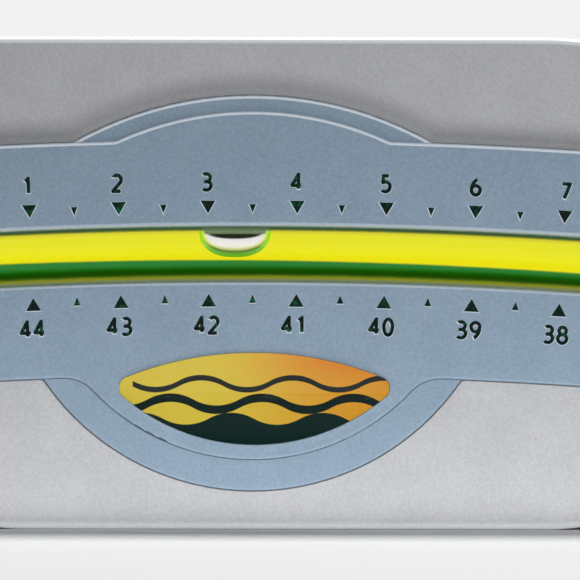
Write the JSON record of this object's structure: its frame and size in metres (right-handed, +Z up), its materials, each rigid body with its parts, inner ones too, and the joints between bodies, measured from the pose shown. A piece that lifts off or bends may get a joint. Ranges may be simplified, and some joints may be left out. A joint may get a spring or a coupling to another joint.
{
  "type": "rowing pitch gauge",
  "caption": "Hand-held bubble gauge with a bent vial between two degree scales, for setting rowlock pitch and foot stretcher angle by its slanted end faces.",
  "frame": {"origin": "on the base, under the middle of the scale, halfway through the housing's depth", "axes": "+X to the right along the base as the scale is read, +Y from the front to the back, +Z up"},
  "size_m": [0.2143, 0.0253, 0.1],
  "materials": {
    "silver_paint": "satin metallic spray",
    "plate_paint": "satin metallic spray, blue-grey",
    "clear_tube": "polished",
    "vial_liquid": "clear liquid, yellow-green",
    "black_plastic": "moulded",
    "carrier_plastic": "moulded, dark green",
    "seal_rubber": "soft",
    "white_film": "smooth white",
    "zinc_steel": "zinc plated",
    "insert_brass": "turned",
    "scale_paint": "dark green paint fill",
    "badge_ground": "printed, golden",
    "badge_ink": "printed, dark green",
    "clear_resin": "polished"
  },
  "bodies": {
    "root": {"housing": "silver_paint", "rear_cover": "silver_paint", "cover_seal": "seal_rubber", "cover_screws": "zinc_steel", "cover_inserts": "insert_brass", "face_plate": "plate_paint", "plate_screws": "zinc_steel", "upper_degree_marks": "scale_paint", "upper_half_marks": "scale_paint", "lower_degree_marks": "scale_paint", "lower_half_marks": "scale_paint", "vial_tube": "clear_tube", "vial_fluid": "vial_liquid", "vial_plug_left": "black_plastic", "vial_plug_right": "black_plastic", "plug_seal_left": "seal_rubber", "plug_seal_right": "seal_rubber", "vial_carrier": "carrier_plastic", "reflector_strip": "white_film", "vial_pad_left": "seal_rubber", "vial_pad_right": "seal_rubber", "carrier_screws": "zinc_steel", "carrier_washers": "zinc_steel", "badge_film": "badge_ground", "badge_print": "badge_ink", "badge_dome": "clear_resin"}
  },
  "joints": []
}
